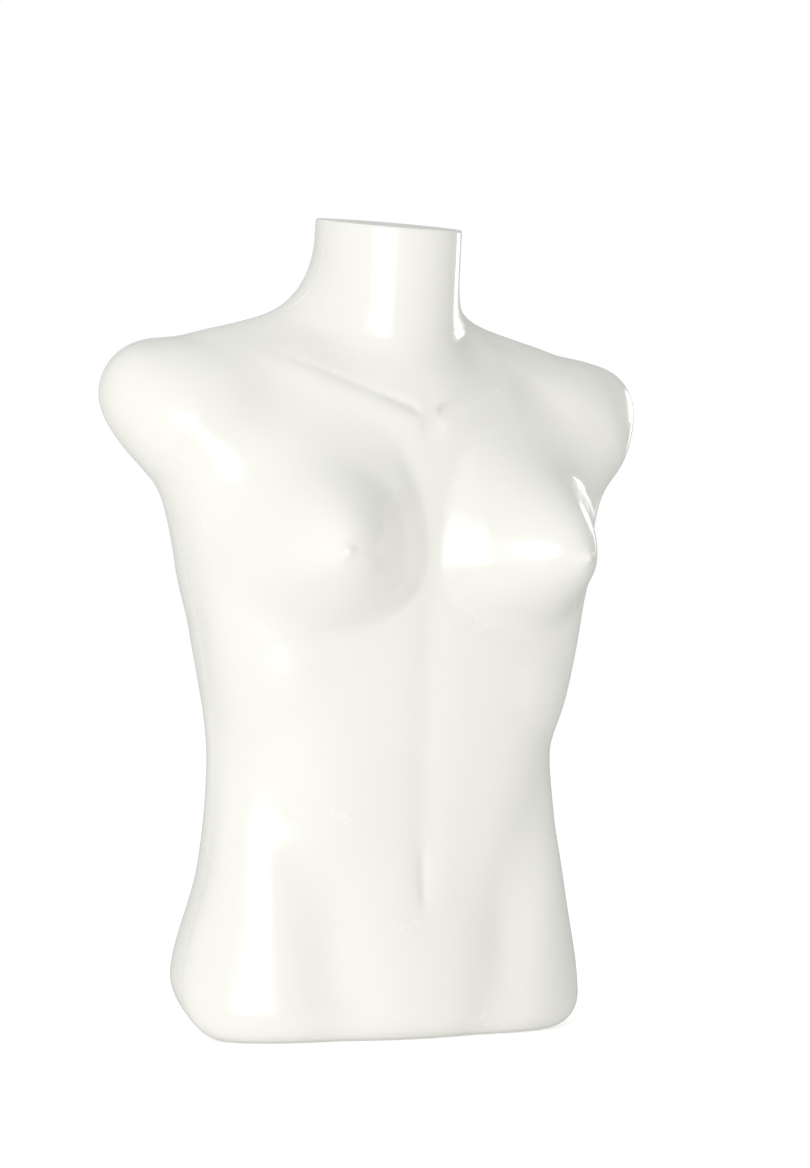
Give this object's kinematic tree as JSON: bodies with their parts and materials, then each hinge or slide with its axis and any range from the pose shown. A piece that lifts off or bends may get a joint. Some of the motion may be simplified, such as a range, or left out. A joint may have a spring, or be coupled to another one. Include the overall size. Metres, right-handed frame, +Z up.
{
  "type": "torso mannequin",
  "caption": "Headless, armless female torso display form with a flat neck, two joined half shells, a lift-off neck cap and a recessed stand socket with a thumb screw.",
  "frame": {"origin": "on the standing surface, below the middle of the bounding box", "axes": "+Z up from the bottom lip to the neck, the front of the torso faces -Y, +X is the torso's own left side, mirror plane x = 0"},
  "size_m": [0.4018, 0.207, 0.5538],
  "materials": {
    "gloss_white": "gloss",
    "cap_white": "semi-gloss",
    "bonding_strip": "matte",
    "board": "sanded",
    "zinc": "zinc plated",
    "steel": "brushed",
    "black_plastic": "satin"
  },
  "bodies": {
    "torso": {"front_shell": "gloss_white", "back_shell": "gloss_white", "neck_ring": "cap_white", "side_strip_left": "bonding_strip", "side_strip_right": "bonding_strip", "shoulder_strip_left": "bonding_strip", "shoulder_strip_right": "bonding_strip", "base_board": "board", "batten_front": "board", "batten_back": "board", "stand_flange": "zinc", "stand_collar": "zinc", "base_screw_1": "zinc", "base_screw_2": "zinc", "base_screw_3": "zinc", "base_screw_4": "zinc", "base_screw_5": "zinc", "base_screw_6": "zinc", "base_screw_7": "zinc", "base_screw_8": "zinc", "flange_screw_1": "zinc", "flange_screw_2": "zinc", "flange_screw_3": "zinc", "flange_screw_4": "zinc", "socket_tube": "steel", "socket_plug": "black_plastic"},
    "neck_cap": {"neck_cap": "cap_white"},
    "thumb_screw": {"thumb_screw": "steel", "thumb_knob": "black_plastic"}
  },
  "joints": [
    {"name": "neck_cap_lift", "type": "slide", "parent": "torso", "child": "neck_cap", "axis": [0, -0.083, 0.9965], "range_m": [0, 0.06]},
    {"name": "thumb_screw_travel", "type": "slide", "parent": "torso", "child": "thumb_screw", "axis": [1, 0, 0], "range_m": [-0.003, 0.008]}
  ]
}
